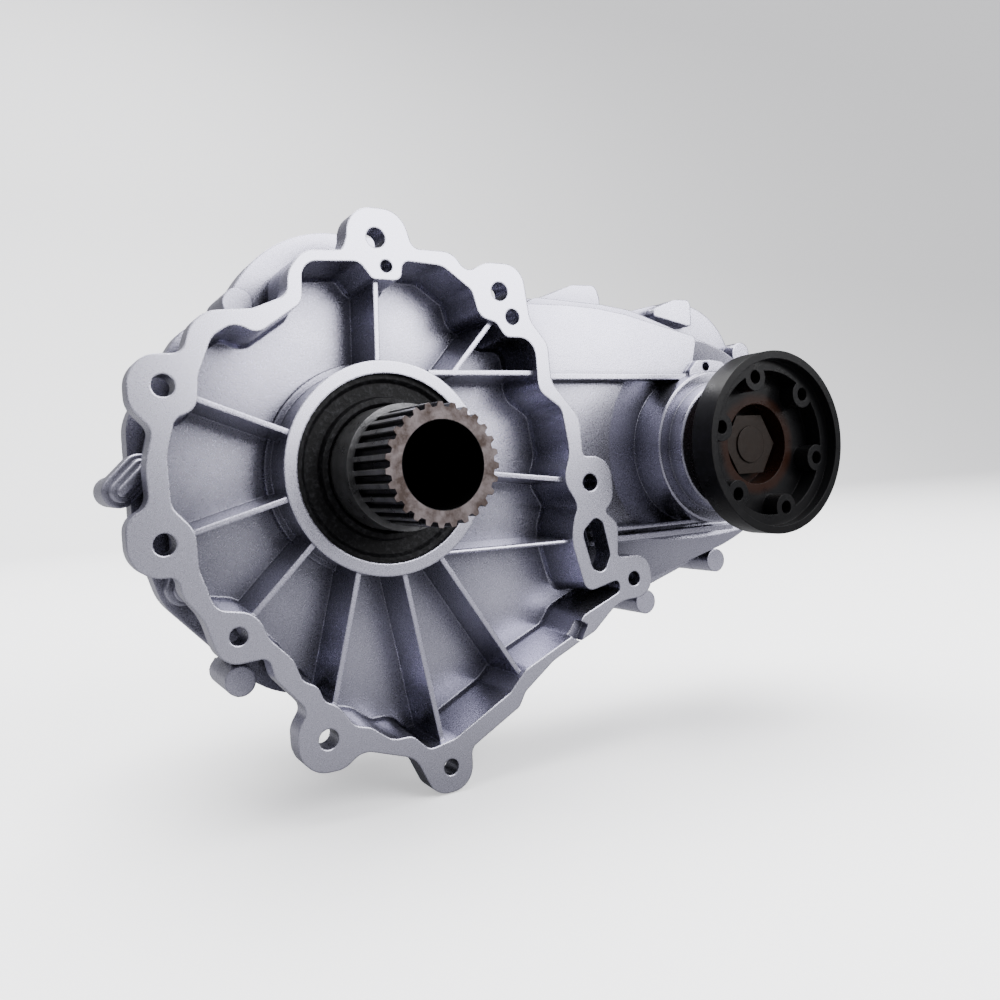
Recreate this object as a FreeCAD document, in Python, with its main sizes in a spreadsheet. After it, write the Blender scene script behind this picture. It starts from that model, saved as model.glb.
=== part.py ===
# Transfer case for an all-wheel-drive car: a cast front case half that bolts to the gearbox,
# a cast rear case half, a planetary centre differential, a toothed chain to the front output,
# and a rear output on the input's own axis.
#
# Frame, in millimetres: the origin is where the input axis meets the front mating face.
# X runs from the input axis towards the front output, Y points to the rear, Z points up.
import FreeCAD, Part
import Sketcher
import math
import os
import re
from FreeCAD import Placement, Rotation, Vector

doc = FreeCAD.newDocument("transfer_case")

# Driving dimensions, one cell each
SIZES = [
    ("flange_thick", 15.0, "front mating flange, face to back"),
    ("wall", 6.0, "cast wall"),
    ("bell_floor", 36.0, "depth of the recess in front of the chain"),
    ("chain_front", 22.0, "front of the chain case outside the bell"),
    ("ledge_front", 12.0, "front of the raised panel above the upper rib"),
    ("joint_y", 62.0, "joint between the two case halves"),
    ("rear_wall_y", 100.0, "inner face of the rear case wall"),
    ("lug_r", 8.5, "case bolt lug"),
    ("lug_long", 20.0, "length of a case bolt lug on either half"),
    ("case_bolt_r", 4.0, "case bolt"),
    ("case_bolt_hole_r", 4.2, "case bolt hole"),
    ("case_bolt_head_r", 7.5, "case bolt head, across corners"),
    ("case_bolt_head_long", 6.0, "case bolt head height"),
    ("dowel_r", 4.0, "case dowel"),
    ("big_hole_r", 5.5, "gearbox bolt hole, large"),
    ("small_hole_r", 4.7, "gearbox bolt hole, small"),
    ("pin_hole_r", 3.5, "locating pin hole"),
    ("collar_r", 59.9, "outside of the collar round the input seal"),
    ("collar_front", 3.0, "front face of the collar"),
    ("seal_pocket_r", 52.5, "input seal pocket"),
    ("seal_pocket_end", 16.0, "bottom of the input seal pocket"),
    ("input_bearing_out_r", 50.0, "input bearing, outer ring outside"),
    ("input_bearing_y", 16.0, "front face of the input bearing"),
    ("input_bearing_wide", 18.0, "width of the input bearing"),
    ("input_bearing_in_r", 32.5, "input bearing bore"),
    ("shaft_tip_y", 62.8, "reach of the input shaft in front of the flange"),
    ("spline_tip_r", 30.9, "input spline, over its teeth"),
    ("spline_root_r", 28.4, "input spline, at its roots"),
    ("spline_long", 42.8, "splined length of the input shaft"),
    ("shaft_bore_r", 22.1, "open bore of the input shaft"),
    ("shaft_bore_long", 80.0, "depth of that bore"),
    ("shaft_shoulder_r", 34.0, "input shaft where the seal runs"),
    ("shaft_core_r", 17.0, "input shaft inside the sun gear"),
    ("needle_thick", 3.0, "needle bearing between shaft and sun gear"),
    ("running_gap", 0.05, "radial clearance of a running fit"),
    ("free_gap", 0.3, "clearance between moving faces"),
    ("centre_distance", 241.3, "input axis to front output axis"),
    ("output_rise", 2.6, "front output axis above the input axis"),
    ("chain_pitch", 12.7, "pitch of the chain"),
    ("chain_wide", 25.0, "width over the toothed plates"),
    ("guide_plate", 1.5, "thickness of a guide plate"),
    ("chain_pin_r", 1.9, "chain pin"),
    ("chain_mid_y", 65.0, "middle of the chain"),
    ("hub_long", 38.0, "length of a sprocket hub"),
    ("drive_hub_r", 26.0, "sleeve of the sun gear"),
    ("gear_module", 2.5, "module of the differential gears"),
    ("gear_front", 114.5, "front face of the sun gear teeth"),
    ("gear_wide", 24.0, "width of the sun gear teeth"),
    ("planet_pin_r", 7.0, "planet pin"),
    ("carrier_r", 68.0, "planet carrier plates"),
    ("carrier_plate", 6.0, "thickness of a carrier plate"),
    ("drum_r", 82.0, "outside of the ring gear and its drum"),
    ("drum_wall", 4.0, "wall of the drum"),
    ("drum_web_y", 150.0, "front of the drum's web"),
    ("housing_r", 88.0, "inside of the differential housing"),
    ("housing_end", 158.5, "inner end of the differential housing"),
    ("rear_bearing_y", 166.0, "front face of the rear output bearing"),
    ("rear_bearing_wide", 19.0, "width of the rear output bearing"),
    ("rear_bearing_out_r", 42.5, "rear output bearing, outside"),
    ("rear_bearing_in_r", 22.5, "rear output bearing bore"),
    ("tail_end", 204.0, "rear end of the case"),
    ("tail_r", 51.0, "outside of the tail"),
    ("rear_flange_r", 55.0, "rear output flange"),
    ("rear_flange_y", 222.0, "rear face of the rear output flange"),
    ("rear_bolt_circle_r", 43.0, "bolt circle of the rear output flange"),
    ("rear_bolt_hole_r", 5.25, "bolt holes of the rear output flange"),
    ("cup_r", 58.0, "front output flange, outside"),
    ("cup_front", 55.0, "reach of the front output flange"),
    ("cup_band", 17.0, "length of its outer band"),
    ("cup_face_back", 7.0, "its bolting face, set back from the rim"),
    ("cup_lip_r", 53.0, "inside of its rim"),
    ("cup_cavity_r", 46.0, "its cavity between the lobes"),
    ("cup_floor", 36.0, "floor of its cavity, in front of the flange plane"),
    ("cup_bolt_circle_r", 43.5, "its bolt circle"),
    ("cup_hole_r", 4.25, "its threaded holes"),
    ("cup_hub_r", 24.0, "its hub where the seal runs"),
    ("boss_low_r", 51.9, "wide step of the front output boss"),
    ("boss_low_y", 0.5, "its front, in front of the flange plane"),
    ("boss_high_r", 43.6, "narrow step of the front output boss"),
    ("boss_high_y", 13.0, "its front, in front of the flange plane"),
    ("front_bearing_out_r", 36.0, "front output bearing, outside"),
    ("front_bearing_in_r", 17.5, "front output bearing bore"),
    ("front_bearing_y", 2.0, "front face of the front output bearing"),
    ("front_bearing_wide", 17.0, "width of the front output bearing"),
    ("back_bearing_out_r", 31.0, "rear bearing of the front output, outside"),
    ("back_bearing_in_r", 15.0, "rear bearing of the front output, bore"),
    ("back_bearing_y", 86.0, "its front face"),
    ("back_bearing_wide", 16.0, "its width"),
    ("circlip_thick", 2.0, "circlip in front of the input bearing"),
    ("washer_y", 44.0, "front of the sun gear's thrust washer"),
    ("washer_thick", 2.0, "room for that washer"),
    ("carrier_back", 145.2, "back of the planet carrier"),
    ("shaft_nose_r", 12.0, "nose of the input shaft"),
    ("pilot_r", 15.0, "pilot bore of the rear output shaft"),
    ("rear_spline_r", 20.0, "rear output shaft under its flange"),
    ("rear_hub_r", 30.0, "hub of the rear output flange"),
    ("nut_y", 213.0, "seat of the rear flange nut"),
    ("thread_r", 14.0, "thread of the rear output shaft"),
    ("cup_well_r", 26.0, "well of the cup round its nut"),
    ("cup_nut_y", 20.0, "seat of the cup's nut, in front of the flange plane"),
    ("cup_thread_r", 12.0, "thread of the front output shaft"),
    ("driven_bore_r", 20.0, "bore of the driven sprocket"),
    ("seal_out_r", 33.0, "front output seal, outside"),
    ("output_seal_deep", 10.0, "depth of its bore"),
    ("rear_seal_r", 40.0, "rear output seal, outside"),
    ("blind_deep", 20.0, "depth of a blind hole in the mating face"),
    ("lip_thick", 10.0, "lip of either half at the joint"),
    ("recess_draft", 3.5, "draft of the recess walls, in degrees"),
    ("floor_round", 3.0, "height of the slant at the foot of those walls"),
    ("floor_slant", 28.0, "that slant, in degrees from the depth"),
    ("rib_thick", 3.0, "bell rib at its front edge"),
    ("rib_draft", 2.0, "draft of its sides, in degrees"),
    ("long_rib_thick", 4.0, "long ribs on the chain case"),
    ("fine_rib_thick", 2.4, "fine rib beside the lower long rib"),
    ("rear_rib_thick", 5.0, "ribs on the rear wall"),
    ("rear_rib_high", 5.0, "height of those ribs"),
    ("panel_hole_r", 3.0, "hole in the boss on the raised panel"),
    ("plug_head_long", 5.0, "height of a plug's head"),
    ("vent_long", 12.0, "height of the vent"),
    ("spline_root_half", 2.1, "half width of a spline tooth at its root"),
    ("spline_tip_half", 1.2, "half width of a spline tooth at its tip"),
    ("slant_start", 128.0, "left end of the slanted underside of the chain case"),
    ("slant_top", 58.0, "its top edge, below the input axis"),
    ("slant_low", 106.0, "its bottom edge"),
    ("slant_end", 48.0, "depth of its bottom edge"),
    ("panel_boss_y", 8.0, "front of the boss on the raised panel"),
    ("ditch_r", 76.0, "outside of the shallow cone round the front output boss"),
    ("ditch_deep", 3.5, "its depth beside the boss"),
    ("bolt_thread_long", 16.0, "case bolt in the front half"),
    ("dowel_long", 14.0, "case dowel length"),
    ("plug_r", 9.0, "drain and fill plugs"),
    ("vent_r", 5.0, "vent"),
]

sheet = doc.addObject("Spreadsheet::Sheet", "Sizes")
for row, (alias, number, meaning) in enumerate(SIZES, start=1):
    sheet.set(f"A{row}", meaning)
    sheet.set(f"B{row}", str(number))
    sheet.setAlias(f"B{row}", alias)
doc.recompute()


def size(words):
    """Value of a sum of sizes, such as "joint_y + wall"."""
    return float(sheet.evalExpression(words))


def linked(words):
    """The same sum written for a property of another object."""
    return re.sub(r"[A-Za-z_]\w*", lambda name: "Sizes." + name.group(), words)


# Ways of making a piece, shared by all of them
def new_body(label, on_output_axis=False):
    body = doc.addObject("PartDesign::Body", label)
    body.Label = label
    if on_output_axis:
        body.setExpression("Placement.Base.x", "Sizes.centre_distance")
        body.setExpression("Placement.Base.z", "Sizes.output_rise")
    return body


def origin_plane(body, role):
    return next(item for item in body.Origin.OriginFeatures if item.Role == role)


def new_sketch(body, name, role, depth="0"):
    """Sketch on an origin plane; on the XZ plane, depth is where it lies along Y."""
    sketch = body.newObject("Sketcher::SketchObject", name)
    sketch.AttachmentSupport = [(origin_plane(body, role), "")]
    sketch.MapMode = "FlatFace"
    if depth != "0":
        sketch.setExpression("AttachmentOffset.Base.z", "-(" + linked(depth) + ")")
    return sketch


def add_profile(sketch, corners):
    """Closed outline of straight lines whose corners are sums of sizes."""
    spots = [Vector(size(x), size(y), 0) for x, y in corners]
    first = sketch.GeometryCount
    count = len(spots)
    for i in range(count):
        sketch.addGeometry(Part.LineSegment(spots[i], spots[(i + 1) % count]), False)
    for i in range(count):
        following = first + (i + 1) % count
        sketch.addConstraint(Sketcher.Constraint("Coincident", first + i, 2, following, 1))
    for i, (x, y) in enumerate(corners):
        for kind, words, number in (("DistanceX", x, spots[i].x), ("DistanceY", y, spots[i].y)):
            rule = sketch.addConstraint(Sketcher.Constraint(kind, -1, 1, first + i, 1, number))
            if re.search("[A-Za-z]", words):
                sketch.setExpression(f"Constraints[{rule}]", linked(words))


def add_circle(sketch, x, z, radius):
    """Circle at a fixed place whose radius is a sum of sizes."""
    circle = Part.Circle(Vector(x, z, 0), Vector(0, 0, 1), size(radius))
    index = sketch.addGeometry(circle, False)
    rule = sketch.addConstraint(Sketcher.Constraint("Radius", index, size(radius)))
    sketch.setExpression(f"Constraints[{rule}]", linked(radius))


def corner_cut(before, corner, after, radius):
    """Start, middle and end of the arc that rounds one corner."""
    back = (before - corner).normalize()
    ahead = (after - corner).normalize()
    half = back.getAngle(ahead) / 2
    inward = (back + ahead).normalize()
    reach = radius / math.tan(half)
    centre = corner + inward * (radius / math.sin(half))
    return corner + back * reach, centre - inward * radius, corner + ahead * reach


def add_outline(sketch, corners):
    """Closed outline of straight lines joined by arcs; a corner is x, z and its radius."""
    spots = [Vector(x, z, 0) for x, z, radius in corners]
    count = len(corners)
    cuts = [
        corner_cut(spots[i - 1], spots[i], spots[(i + 1) % count], corners[i][2])
        for i in range(count)
    ]
    for i in range(count):
        start, middle, end = cuts[i]
        sketch.addGeometry(Part.Arc(start, middle, end), False)
        sketch.addGeometry(Part.LineSegment(end, cuts[(i + 1) % count][0]), False)


def grown(corners, step):
    """The same outline, everywhere further out by step; clockwise corners."""
    moved = []
    count = len(corners)
    for i in range(count):
        before = Vector(*corners[i - 1][:2], 0)
        spot = Vector(*corners[i][:2], 0)
        after = Vector(*corners[(i + 1) % count][:2], 0)
        back = (before - spot).normalize()
        ahead = (after - spot).normalize()
        half = back.getAngle(ahead) / 2
        turns_right = back.cross(ahead).z > 0
        side = 1 if turns_right else -1
        place = spot - (back + ahead).normalize() * (side * step / math.sin(half))
        moved.append((place.x, place.y, max(corners[i][2] + side * step, 0.5)))
    return moved


def pad(body, sketch, length, name):
    """Solid from the sketch towards the rear."""
    feature = body.newObject("PartDesign::Pad", name)
    feature.Profile = sketch
    feature.setExpression("Length", linked(length))
    feature.Reversed = True
    return feature


def pocket(body, sketch, length, name, forwards=False):
    """Cut from the sketch towards the rear, or towards the front."""
    feature = body.newObject("PartDesign::Pocket", name)
    feature.Profile = sketch
    feature.setExpression("Length", linked(length))
    feature.Reversed = forwards
    return feature


def turned(label, corners, on_output_axis=False):
    """Body turned about its shaft axis; corners are radius and place along Y."""
    body = new_body(label, on_output_axis)
    sketch = new_sketch(body, label + "_profile", "XY_Plane")
    add_profile(sketch, corners)
    feature = body.newObject("PartDesign::Revolution", label + "_turned")
    feature.Profile = sketch
    feature.ReferenceAxis = (sketch, ["V_Axis"])
    feature.Angle = 360
    return body


def ring(label, inner, outer, front, back, on_output_axis=False):
    """Plain ring between two radii and two places along Y."""
    corners = [(inner, front), (outer, front), (outer, back), (inner, back)]
    return turned(label, corners, on_output_axis)


# Front case half: the bell that meets the gearbox, the collar round the input seal, the ribs
# between them, the front wall of the chain case and the boss of the front output.
# Outlines run clockwise as seen from the front; each corner is x, z and the radius that rounds it.
FLANGE_OUTLINE = [
    (-17.7, 141.5, 15), (13.8, 141.5, 15), (20, 121, 6), (45, 121, 13), (53, 109.5, 7),
    (66, 116.6, 14), (90.5, 116.6, 13), (94.6, 84, 14), (106.5, 70, 12), (107.5, 47, 14),
    (127, 25, 18), (128.2, 1, 3), (149.5, 0.5, 15), (150, -28, 13), (142.5, -34, 2.5),
    (152.5, -43, 7), (151, -64.5, 3), (176, -64.5, 12), (179, -91.8, 12.5), (150, -92.5, 25),
    (130, -109, 10), (100, -121, 40), (77, -137.5, 8), (72, -146, 6), (38.5, -163.5, 6),
    (38, -186.2, 13), (14, -186.2, 13), (3, -162, 14), (-28, -151, 12), (-38, -158.8, 14),
    (-62.5, -158.8, 16), (-62.5, -134, 12), (-56, -124, 6), (-72, -105, 12), (-74.5, -93, 5),
    (-98, -94.5, 12), (-105, -70, 25), (-115, -56, 12), (-115, -46.8, 5), (-138, -47.5, 16),
    (-138, -17.5, 10.5), (-126.5, -12, 9), (-127.3, 8, 30), (-122.8, 25, 8), (-133, 36, 14),
    (-133, 61.3, 15.5), (-106.5, 61.3, 7), (-100.5, 82, 17), (-71, 84.5, 7), (-52.8, 92, 8),
    (-51, 114, 16), (-22, 115.5, 8), (-18.5, 125, 8),
]
RECESS_OUTLINE = [
    (-45, 88.5, 8), (-44, 110, 9), (-12, 112, 7), (-5, 102.8, 5), (12, 102.8, 5), (13.5, 114, 4.5),
    (38, 112.8, 12),
    (56, 100, 7), (60, 85, 9), (71, 82, 5), (77, 73.5, 6), (97, 73.5, 11), (98, 42, 10),
    (114, 31, 9), (118.5, 3, 25), (112.5, -13, 14), (122.5, -29, 9), (115.3, -47, 30),
    (125.5, -84, 7), (152, -78.2, 3.5), (151, -86.6, 3.5), (122, -98, 10), (114, -109, 10),
    (78, -124.5, 12), (66, -136.5, 10), (28, -156, 14), (12, -159, 7), (2, -149, 8),
    (-10, -149, 12), (-22, -139.5, 10), (-31, -137, 8), (-40, -124, 12), (-47, -121, 8),
    (-50, -112, 8), (-58, -108, 8), (-62, -96, 12), (-74, -83, 12), (-79, -69, 14),
    (-99, -65.5, 9), (-105.8, -44, 12), (-106, -25, 14), (-116.5, -13, 10), (-117, 12, 20),
    (-112, 30, 7), (-101.5, 34, 9), (-100, 50, 14), (-92, 70, 12), (-81, 77, 10),
    (-69, 71.8, 8),
]
CASE_OUTLINE = [
    (-128, -24, 40), (-128, 34, 30), (-98, 80, 20), (-76, 92, 8), (-45, 140.6, 70),
    (24, 140.6, 35), (62, 110, 25), (150, 108, 60), (205, 101.5, 30), (235, 108.5, 12),
    (293.8, 113.6, 51.4), (327.3, 22, 60), (327.3, -61.4, 86), (150, -115, 60), (60, -134, 60),
    (-62, -126, 55), (-116, -66, 30),
]
CAVITY_OUTLINE = [
    (-97, -25, 40), (-97, 38, 25), (-60, 68, 15), (-40, 80, 8), (-38, 104, 12), (34, 104, 14),
    (56, 82, 10), (92, 80, 10), (106, 94, 10), (185, 92, 50), (310.5, 53, 69),
    (310.5, -50, 69), (150, -97, 60), (60, -118, 60), (-58, -112, 50),
]
CHAIN_FRONT_OUTLINE = [
    (98, -40, 10), (98, 90, 10), (112, 103, 10), (165, 100.5, 60), (190, 97.5, 60),
    (317.3, 58.6, 75.5), (317.3, -53.9, 75.5), (150, -105.6, 60), (110, -108, 10),
]
BELL_CAVITY_OUTLINE = [
    (-97, -25, 40), (-97, 38, 25), (-60, 68, 15), (-40, 80, 8), (-38, 104, 12), (34, 104, 14),
    (56, 82, 10), (92, 80, 10), (106, 92, 10), (124, 92, 6), (124, -103, 10), (60, -118, 60),
    (-58, -112, 50),
]
SIDE_CAVITY_OUTLINE = [
    (166, -74, 10), (166, 84, 10), (200, 86, 40), (309.5, 53, 68), (309.5, -49, 68),
    (262, -74, 20),
]
OUTPUT_CAVITY_OUTLINE = [
    (166, -52, 10), (166, 84, 10), (200, 86, 40), (304, 50, 52), (304, -40, 52),
    (250, -52, 20),
]
PANEL_OUTLINE = [
    (99, 50, 2), (99, 96.5, 4), (131, 96.8, 60), (154, 95.7, 60), (177, 92.6, 60),
    (210, 85.4, 60), (238.5, 79.5, 4), (234, 62, 5), (234, 50, 2),
]
PANEL_BOSS_OUTLINE = [
    (226.5, 49, 1), (227, 55.5, 3), (234, 62.8, 6), (247.5, 63.3, 40), (262, 61.5, 8),
    (263, 49, 1),
]
WINDOW_OUTLINE = [
    (134.6, -37.5, 4), (140.6, -40.5, 5), (145.4, -62, 7), (139.6, -73.5, 5), (131, -69.8, 5),
    (124.4, -46, 6),
]
PANEL_HOLE = (242, 58.5)
WEDGE_LUGS = [
    [(131, 104, 1), (131, 107.5, 1.5), (157, 117.2, 12), (176, 117.6, 5), (179, 109, 4),
     (179, 98, 2)],
    [(226, 99, 2), (229, 104.8, 4), (247, 111.3, 12), (262, 111.5, 4), (262, 92, 2)],
]
NOTCH_OUTLINE = [(112, -110, 1), (118, -100, 1), (125, -104, 1), (119, -114, 1)]
BIG_HOLES = [(-116.4, 45.8), (-120.8, -30.6), (-46.1, -141.1), (74.5, 100.1), (-1.7, 125.3)]
SMALL_HOLES = [(-89.0, -79.9), (24.5, -171.7)]
BLIND_BIG_HOLES = [(132.5, -15.5)]
BLIND_SMALL_HOLES = [(163.2, -79.4), (82.4, 85.5)]
PIN_HOLE = (3.5, 110.3)
LUGS = [
    (-134.5, -4), (-67.5, 95), (170, 108.5), (253, 103), (311, 73), (328, -20),
    (275, -82), (206, -104.5), (105, -128), (10, -136), (-80, -112), (-107, -58),
]
DOWELS = [(-118, 20), (318, 25)]
PLUGS = [(150, -60), (150, 50)]
VENT = (205, 70)
# Ribs of the bell, from the collar to the wall
BELL_RIBS = [
    ((-3.5, 55), (-1.4, 112)), ((42, 52), (70, 83)), ((27, 53), (102, 53)),
    ((52, -5), (117, -13)), ((28, -50), (118, -51.5)), ((24, -46), (77, -129)),
    ((4, -54), (22, -158)), ((-20, -48), (-41, -127)), ((-43, -35), (-81, -72)),
    ((-54, -12), (-108, -27)), ((-51, 20), (-103, 40.5)),
]
# Ribs on the rear wall, from the boss of the front output's rear bearing
REAR_RIBS = [
    ((212, 2.6), (92, 2.6)), ((241.3, 32), (241.3, 66)), ((262, 23), (288, 49)),
    ((262, -18), (286, -42)), ((241.3, -27), (241.3, -62)), ((218, -16), (185, -45)),
]


def add_strip(sketch, start, end, thick):
    """Straight bar between two points, as wide as thick."""
    start = Vector(*start, 0)
    end = Vector(*end, 0)
    across = (end - start).cross(Vector(0, 0, 1)).normalize() * (thick / 2)
    spots = [start + across, end + across, end - across, start - across, start + across]
    for one, other in zip(spots, spots[1:]):
        sketch.addGeometry(Part.LineSegment(one, other), False)


def tapered(feature, degrees):
    """The same feature with its cross-section growing along its length."""
    feature.TaperAngle = degrees
    return feature


front_case = new_body("front_case")
# Chain case, cut off at a slant along its underside
chain_sketch = new_sketch(front_case, "chain_case_outline", "XZ_Plane", "chain_front")
add_outline(chain_sketch, CHAIN_FRONT_OUTLINE)
pad(front_case, chain_sketch, "joint_y - chain_front", "chain_case")
body_sketch = new_sketch(front_case, "body_outline", "XZ_Plane", "bell_floor")
add_outline(body_sketch, grown(CAVITY_OUTLINE, size("wall")))
pad(front_case, body_sketch, "joint_y - bell_floor", "case_body")
slant_sketch = new_sketch(front_case, "slant_profile", "YZ_Plane")
slant_sketch.setExpression("AttachmentOffset.Base.z", "Sizes.slant_start")
add_profile(slant_sketch, [
    ("chain_front - 2", "-slant_top + 3.5"), ("chain_front", "-slant_top"),
    ("slant_end", "-slant_low"), ("slant_end", "-slant_low - 40"),
    ("chain_front - 2", "-slant_low - 40"),
])
slant = front_case.newObject("PartDesign::Pocket", "slanted_underside")
slant.Profile = slant_sketch
slant.setExpression("Length", "Sizes.centre_distance")
slant.Reversed = True
# Wall of the bell, mating flange, lip at the joint, raised panel and wedge-shaped lugs
bell_sketch = new_sketch(front_case, "bell_outline", "XZ_Plane")
add_outline(bell_sketch, grown(RECESS_OUTLINE, size("wall")))
pad(front_case, bell_sketch, "bell_floor + wall", "bell_wall")
flange_sketch = new_sketch(front_case, "flange_outline", "XZ_Plane")
add_outline(flange_sketch, FLANGE_OUTLINE)
pad(front_case, flange_sketch, "flange_thick", "mating_flange")
lip_sketch = new_sketch(front_case, "lip_outline", "XZ_Plane", "joint_y - lip_thick")
add_outline(lip_sketch, CASE_OUTLINE)
pad(front_case, lip_sketch, "lip_thick", "joint_lip")
panel_sketch = new_sketch(front_case, "panel_outline", "XZ_Plane", "ledge_front")
add_outline(panel_sketch, PANEL_OUTLINE)
pad(front_case, panel_sketch, "chain_front - ledge_front + 1", "raised_panel")
panel_boss_sketch = new_sketch(front_case, "panel_boss_outline", "XZ_Plane", "panel_boss_y")
add_outline(panel_boss_sketch, PANEL_BOSS_OUTLINE)
add_circle(panel_boss_sketch, *PANEL_HOLE, "panel_hole_r")
pad(front_case, panel_boss_sketch, "chain_front - panel_boss_y + 1", "panel_boss")
wedge_sketch = new_sketch(front_case, "wedge_outlines", "XZ_Plane", "joint_y - lug_long")
for outline in WEDGE_LUGS:
    add_outline(wedge_sketch, outline)
pad(front_case, wedge_sketch, "lug_long", "wedge_lugs")


def add_output_circle(sketch, radius):
    """Circle on the front output axis."""
    centre = Vector(size("centre_distance"), size("output_rise"), 0)
    index = sketch.addGeometry(Part.Circle(centre, Vector(0, 0, 1), size(radius)), False)
    rules = (
        ("Radius", radius, (index, size(radius))),
        ("DistanceX", "centre_distance", (-1, 1, index, 3, centre.x)),
        ("DistanceY", "output_rise", (-1, 1, index, 3, centre.y)),
    )
    for kind, words, terms in rules:
        rule = sketch.addConstraint(Sketcher.Constraint(kind, *terms))
        sketch.setExpression(f"Constraints[{rule}]", linked(words))


def output_pad(body, name, radius, front, length):
    sketch = new_sketch(body, name + "_circle", "XZ_Plane", front)
    add_output_circle(sketch, radius)
    return pad(body, sketch, length, name)


def output_bore(body, name, radius, front, length):
    sketch = new_sketch(body, name + "_circle", "XZ_Plane", front)
    add_output_circle(sketch, radius)
    return pocket(body, sketch, length, name)


def bores(body, name, spots, radius, front, length):
    sketch = new_sketch(body, name + "_circles", "XZ_Plane", front)
    for x, z in spots:
        add_circle(sketch, x, z, radius)
    return pocket(body, sketch, length, name)



def output_profile(body, name, corners):
    """Profile beside the front output axis; corners are radius and place along Y."""
    sketch = new_sketch(body, name, "XY_Plane")
    sketch.setExpression("AttachmentOffset.Base.z", "Sizes.output_rise")
    centre = size("centre_distance")
    ends = (Vector(centre, 0, 0), Vector(centre, 9, 0))
    axis = sketch.addGeometry(Part.LineSegment(*ends), True)
    sketch.addConstraint(Sketcher.Constraint("Vertical", axis))
    rule = sketch.addConstraint(Sketcher.Constraint("DistanceX", -1, 1, axis, 1, centre))
    sketch.setExpression(f"Constraints[{rule}]", "Sizes.centre_distance")
    add_profile(sketch, [("centre_distance + " + radius, depth) for radius, depth in corners])
    return sketch


def spun(body, kind, sketch, name, axis):
    """Revolution or groove of the whole turn."""
    feature = body.newObject("PartDesign::" + kind, name)
    feature.Profile = sketch
    feature.ReferenceAxis = (sketch, [axis])
    feature.Angle = 360
    return feature


boss_sketch = output_profile(front_case, "output_boss_profile", [
    ("0", "-boss_high_y"), ("boss_high_r - 1", "-boss_high_y"), ("boss_high_r", "1 - boss_high_y"),
    ("boss_high_r", "-boss_low_y"), ("boss_low_r - 1", "-boss_low_y"),
    ("boss_low_r", "1 - boss_low_y"), ("boss_low_r", "chain_front + wall"),
    ("0", "chain_front + wall"),
])
spun(front_case, "Revolution", boss_sketch, "output_boss", "Axis0")
lug_sketch = new_sketch(front_case, "lug_circles", "XZ_Plane", "joint_y - lug_long")
for x, z in LUGS:
    add_circle(lug_sketch, x, z, "lug_r")
pad(front_case, lug_sketch, "lug_long", "lugs")
long_rib_sketch = new_sketch(front_case, "long_rib_lines", "XZ_Plane", "ledge_front - 2")
for start, end, thick in (
        ((100, 51.8), (249, 51.8), "long_rib_thick"), ((150, -54), (262, -54), "long_rib_thick"),
        ((150, -47.6), (262, -47.6), "fine_rib_thick")):
    add_strip(long_rib_sketch, start, end, size(thick))
pad(front_case, long_rib_sketch, "chain_front - ledge_front + 3", "long_ribs")
# Hollow for the chain, shallower where the outside slants
for name, outline, depth in (
        ("cavity", CAVITY_OUTLINE, "slant_end"),
        ("bell_cavity", BELL_CAVITY_OUTLINE, "bell_floor + wall"),
        ("side_cavity", SIDE_CAVITY_OUTLINE, "slant_end - 10"),
        ("output_cavity", OUTPUT_CAVITY_OUTLINE, "chain_front + wall + 2")):
    hollow_sketch = new_sketch(front_case, name + "_outline", "XZ_Plane", "joint_y")
    add_outline(hollow_sketch, outline)
    pocket(front_case, hollow_sketch, f"joint_y - ({depth})", name, forwards=True)
output_way_sketch = output_profile(front_case, "output_way_profile", [
    ("0", "-boss_high_y - 1"), ("seal_out_r", "-boss_high_y - 1"),
    ("seal_out_r", "output_seal_deep - boss_high_y"),
    ("front_bearing_out_r - 6", "output_seal_deep - boss_high_y"),
    ("front_bearing_out_r - 6", "front_bearing_y"), ("front_bearing_out_r", "front_bearing_y"),
    ("front_bearing_out_r", "joint_y + 1"), ("0", "joint_y + 1"),
])
spun(front_case, "Groove", output_way_sketch, "output_way", "Axis0")
ditch_sketch = output_profile(front_case, "ditch_profile", [
    ("boss_low_r", "chain_front - 3"), ("boss_low_r", "chain_front + ditch_deep"),
    ("ditch_r", "chain_front"), ("ditch_r", "chain_front - 3"),
])
spun(front_case, "Groove", ditch_sketch, "ditch", "Axis0")
hole_sketch = new_sketch(front_case, "through_hole_circles", "XZ_Plane")
blind_sketch = new_sketch(front_case, "blind_hole_circles", "XZ_Plane")
for sketch, radius, spots in (
        (hole_sketch, "big_hole_r", BIG_HOLES), (hole_sketch, "small_hole_r", SMALL_HOLES),
        (blind_sketch, "big_hole_r", BLIND_BIG_HOLES),
        (blind_sketch, "small_hole_r", BLIND_SMALL_HOLES),
        (blind_sketch, "pin_hole_r", [PIN_HOLE])):
    for x, z in spots:
        add_circle(sketch, x, z, radius)
pocket(front_case, hole_sketch, "bell_floor + wall", "through_holes")
pocket(front_case, blind_sketch, "blind_deep", "blind_holes")
window_sketch = new_sketch(front_case, "window_outline", "XZ_Plane")
add_outline(window_sketch, WINDOW_OUTLINE)
pocket(front_case, window_sketch, "bell_floor - wall", "window")
notch_sketch = new_sketch(front_case, "notch_outline", "XZ_Plane")
add_outline(notch_sketch, NOTCH_OUTLINE)
pocket(front_case, notch_sketch, "wall", "notch")
bores(front_case, "bolt_threads", LUGS, "case_bolt_r", "joint_y - bolt_thread_long", "lug_long")
bores(front_case, "dowel_holes", DOWELS, "dowel_r", "joint_y - dowel_long / 2", "dowel_long")
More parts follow.
